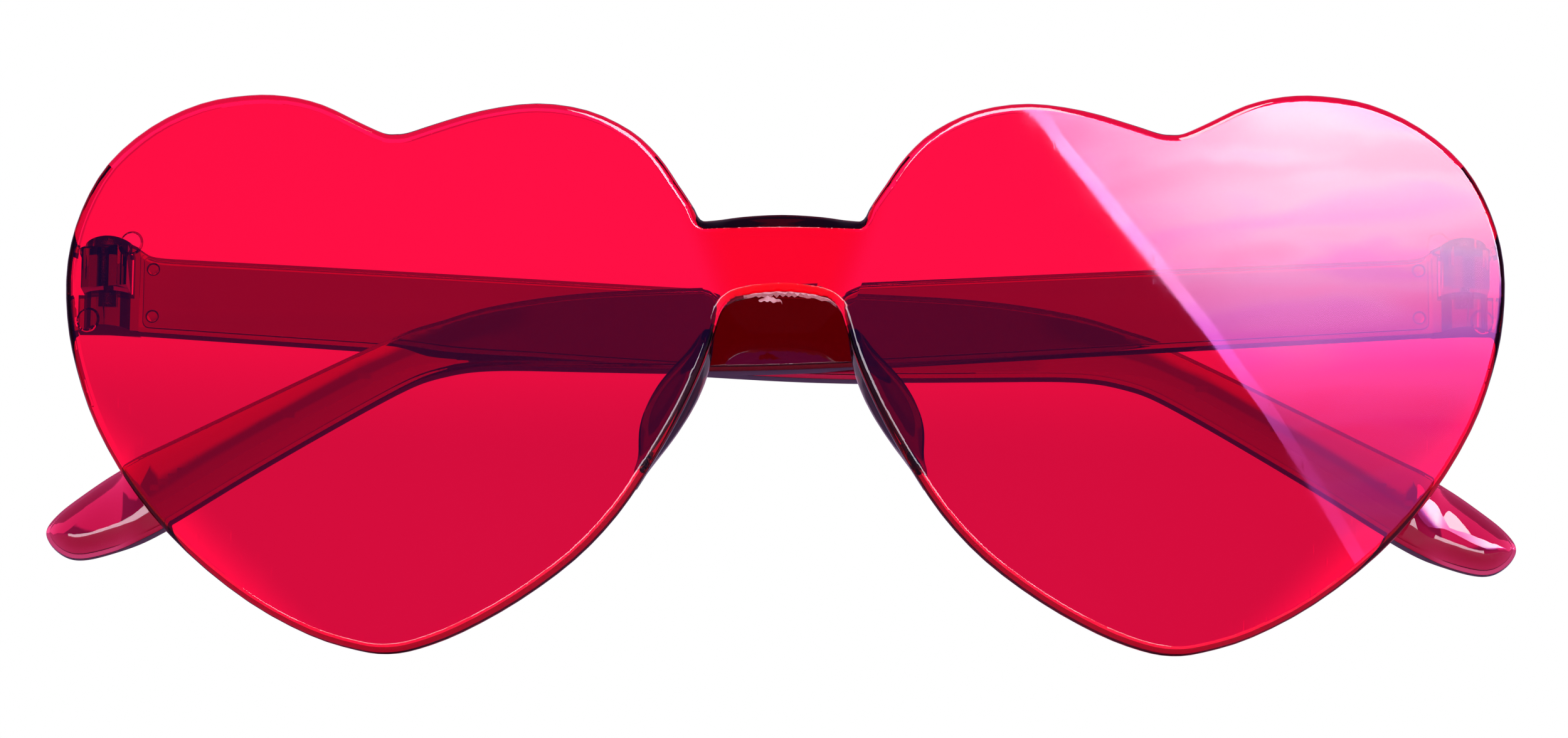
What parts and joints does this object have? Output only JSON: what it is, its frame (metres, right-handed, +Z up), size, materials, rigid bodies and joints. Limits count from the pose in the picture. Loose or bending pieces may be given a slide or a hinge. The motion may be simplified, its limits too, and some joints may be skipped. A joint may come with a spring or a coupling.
{
  "type": "heart shaped sunglasses",
  "caption": "Rimless heart shaped sunglasses in clear red plastic, with a one-piece moulded front and arms that fold flat behind it on hinge screws.",
  "frame": {"origin": "crown of the nose arch, halfway through the bridge, where the front bears on the nose", "axes": "as worn: +X to the wearer's left, +Y from the front towards the wearer, +Z up; the arms are stored folded behind the front"},
  "size_m": [0.1528, 0.0219, 0.0596],
  "materials": {
    "clear_red_front": "clear polycarbonate tinted red in the mass, polished",
    "clear_red_arms": "clear polycarbonate tinted red in the mass, polished",
    "screw_steel": "bright stainless steel, turned"
  },
  "bodies": {
    "front": {"lens_front": "clear_red_front"},
    "left_arm": {"left_arm": "clear_red_arms", "left_hinge_screw": "screw_steel"},
    "right_arm": {"right_arm": "clear_red_arms", "right_hinge_screw": "screw_steel"}
  },
  "joints": [
    {"name": "left_hinge", "type": "hinge", "parent": "front", "child": "left_arm", "pos_m": [0.0706, 0.01425, 0.00415], "axis": [0, 0, -1], "range_deg": [0, 93.3]},
    {"name": "right_hinge", "type": "hinge", "parent": "front", "child": "right_arm", "pos_m": [-0.0706, 0.01425, 0.00415], "axis": [0, 0, 1], "range_deg": [0, 90.5]}
  ]
}
